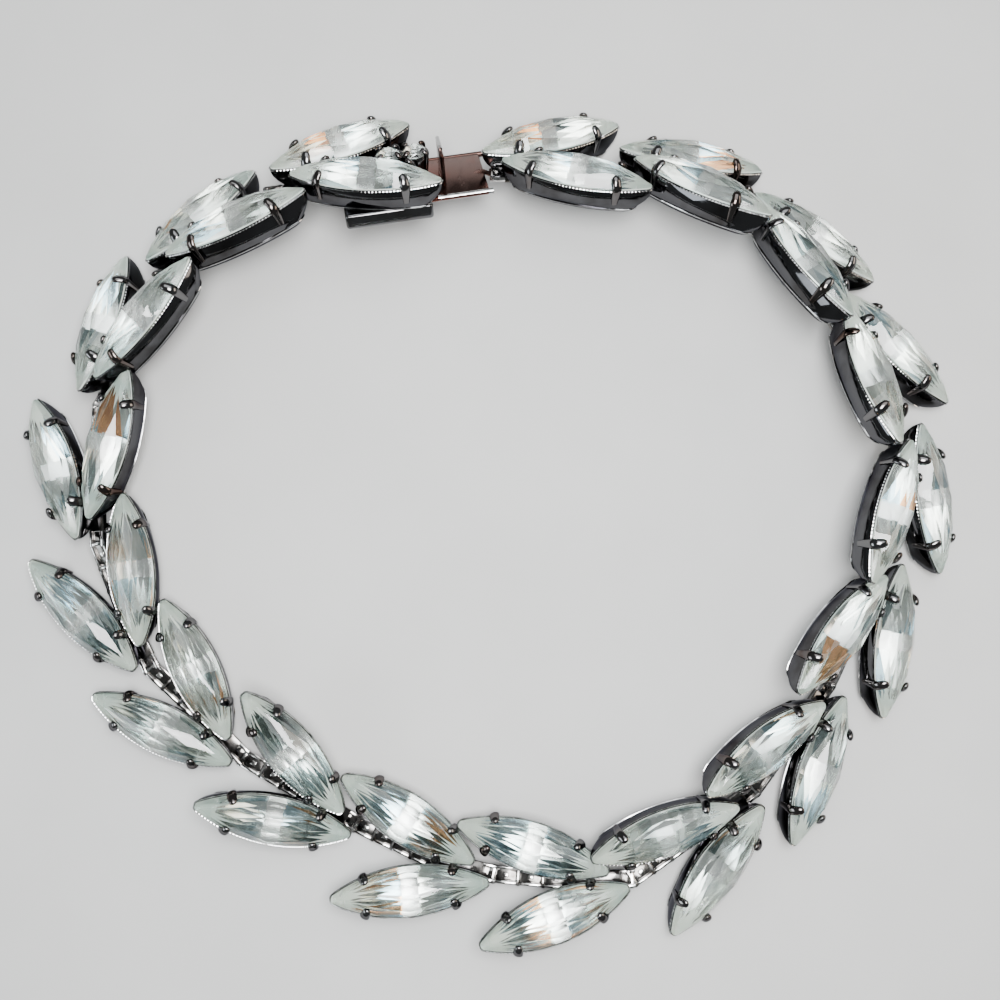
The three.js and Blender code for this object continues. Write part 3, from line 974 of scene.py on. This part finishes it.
def chaton(bm, place, sides=32):
    profile = [(0.6, -0.5), (0.96, -0.2), (1.02, -0.02), (1.12, -0.04), (1.16, -0.14),
               (1.13, -0.35), (1.08, -0.9), (0.98, -1.5), (0.92, -1.85), (0.92, -2.1)]
    rings = [[place @ p for p in round_ring(r, z, sides)] for r, z in profile]
    loft(bm, rings, cap_start=True, cap_end=True)
    for k in range(4):
        angle = pi / 4 + k * pi / 2
        out = Vector((cos(angle), sin(angle), 0))
        across = Vector((-out.y, out.x, 0))
        points = [out * r + Vector((0, 0, z)) for r, z in
                  ((1.1, -1.1), (1.16, -0.5), (1.19, -0.05), (1.1, 0.28), (0.86, 0.4),
                   (0.68, 0.38))]
        line = smooth_line(points, 3)
        sizes = [0.28 + 0.1 * min(i / 8, 1) for i in range(len(line) - 2)] + [0.28, 0.08]
        sweep(bm, [place @ p for p in line], across, sizes, [0.8 * s for s in sizes], sides=10)


bm_stones, bm_cups = bmesh.new(), bmesh.new()
for spot in CHATON_PLACES:
    round_stone(bm_stones, Matrix.Translation((spot, 0, 0)))
    chaton(bm_cups, Matrix.Translation((spot, 0, 0)))
add_piece("chaton_stones", to_mesh(bm_stones, "round", radians(2)), PLACES[0], [GLASS, WHITE_FOIL_PAINTED_FLASH])
add_piece("chaton_cups", to_mesh(bm_cups, "chatons", radians(40)), PLACES[0], [PRONG_METAL])

# %% [markdown]
# ## The room
#
# A pale sheet of card in a dim grey room, with four soft lamps: a small one beside the lens, a
# large one high behind, a cool one on the left and a weak warm one on the right. Mirror plate and
# foil show only what they reflect, so the dark room between the lamps gives them their depth.

# %% Floor, light and camera
def card():
    material, tree, shader = new_material("pale_card", Roughness=0.85)
    clouds = use_group(tree, CLOUDS, Clean=(0.50, 0.50, 0.495, 1), Dull=(0.465, 0.465, 0.46, 1),
                       Scale=60.0, From=0.3)
    tree.links.new(clouds.outputs["Color"], shader.inputs["Base Color"])
    return material


bm = bmesh.new()
bmesh.ops.create_grid(bm, x_segments=4, y_segments=4, size=0.6)
floor_mesh = to_mesh(bm, "floor")
floor_mesh.materials.append(card())
floor = bpy.data.objects.new("floor", floor_mesh)
bpy.context.scene.collection.objects.link(floor)


def softbox(name, spot, size, power, aim=(0, 0, 0), tint=(1, 1, 1)):
    light = bpy.data.lights.new(name, "AREA")
    light.shape, light.size, light.size_y = "RECTANGLE", size[0], size[1]
    light.energy, light.color = power, tint
    lamp = bpy.data.objects.new(name, light)
    lamp.location = spot
    lamp.rotation_euler = (Vector(aim) - Vector(spot)).to_track_quat("-Z", "Y").to_euler()
    bpy.context.scene.collection.objects.link(lamp)


softbox("key", (0.010, -0.004, 0.130), (0.07, 0.05), 0.42)
softbox("over", (0.05, 0.22, 0.42), (0.4, 0.3), 1.4, tint=(0.94, 0.98, 1.0))
softbox("side", (-0.32, -0.12, 0.16), (0.22, 0.14), 0.7, tint=(0.88, 0.96, 1.0))
softbox("low", (0.28, 0.05, 0.12), (0.2, 0.1), 0.35, tint=(1.0, 0.86, 0.72))

world = bpy.data.worlds.new("room")
world.use_nodes = True
world.node_tree.nodes["Background"].inputs["Color"].default_value = (0.20, 0.21, 0.21, 1)
bpy.context.scene.world = world

# The lens looks almost straight down, from a hand's breadth above the middle of the loop. Its
# distance and direction are fitted values too.
VIEW = {"target": (0.00096, 0.00156, 0.0), "elevation": 85.0, "azimuth": -0.33,
        "distance": 0.0936}
SIGHT = Vector((sin(radians(VIEW["azimuth"])) * cos(radians(VIEW["elevation"])),
                cos(radians(VIEW["azimuth"])) * cos(radians(VIEW["elevation"])),
                -sin(radians(VIEW["elevation"]))))
lens = bpy.data.cameras.new("camera")
lens.lens, lens.sensor_width = 40.66, 36.0
lens.clip_start, lens.clip_end = 0.005, 10.0
camera = bpy.data.objects.new("camera", lens)
camera.location = Vector(VIEW["target"]) - SIGHT * VIEW["distance"]
camera.rotation_euler = SIGHT.to_track_quat("-Z", "Y").to_euler()
bpy.context.scene.collection.objects.link(camera)
bpy.context.scene.camera = camera
print("camera at", [round(v, 4) for v in camera.location])

# %% Check the size and finish
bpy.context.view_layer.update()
shown = [o for o in bpy.data.objects if o.type == "MESH" and not o.hide_render]
triangles = sum(len(p.vertices) - 2 for o in shown for p in o.data.polygons)
print("triangles shown:", triangles)
